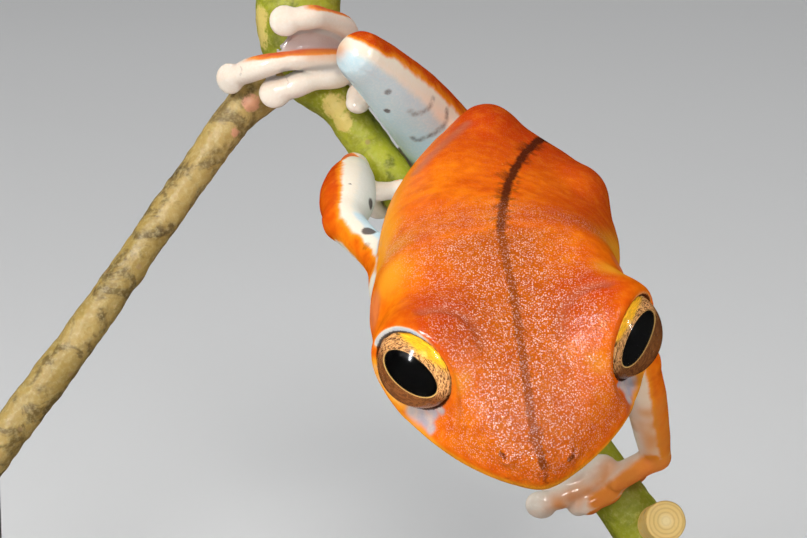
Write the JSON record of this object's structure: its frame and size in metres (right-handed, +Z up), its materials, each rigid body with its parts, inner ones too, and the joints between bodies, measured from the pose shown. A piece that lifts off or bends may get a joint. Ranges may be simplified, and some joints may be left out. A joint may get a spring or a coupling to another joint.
{
  "type": "troschels tree frog",
  "caption": "Life-size orange tree frog climbing head-down on a cut twig, held over a flat base by two short rods.",
  "frame": {"origin": "centre of the bounding box at the underside of the stand's base", "axes": "+Z up; the frog's snout points toward -Y and a little down; the frog's left is toward +X"},
  "size_m": [0.056, 0.06, 0.05],
  "materials": {
    "orange_skin": "moist, finely granular orange skin",
    "pale_skin": "moist cream to pale blue skin",
    "eye": "wet, clear and glossy over a bronze iris",
    "green_bark": "smooth green young bark",
    "brown_bark": "rough brown bark",
    "cut_wood": "pale cut wood",
    "stand_wood": "dark satin varnish",
    "stand_steel": "satin"
  },
  "bodies": {
    "root": {"head": "orange_skin", "eye_right": "eye", "eye_left": "eye", "torso": "orange_skin", "upper_arm_right": "pale_skin", "forearm_right": "orange_skin", "hand_right": "pale_skin", "thigh_right": "orange_skin", "shank_right": "orange_skin", "tarsus_right": "orange_skin", "foot_right": "pale_skin", "upper_arm_left": "pale_skin", "forearm_left": "orange_skin", "hand_left": "pale_skin", "thigh_left": "orange_skin", "shank_left": "orange_skin", "tarsus_left": "orange_skin", "foot_left": "pale_skin", "perch_branch": "green_bark", "perch_twig": "brown_bark", "perch_stub": "cut_wood", "stand_base": "stand_wood", "stand_rod_right": "stand_steel", "stand_rod_left": "stand_steel"}
  },
  "joints": []
}
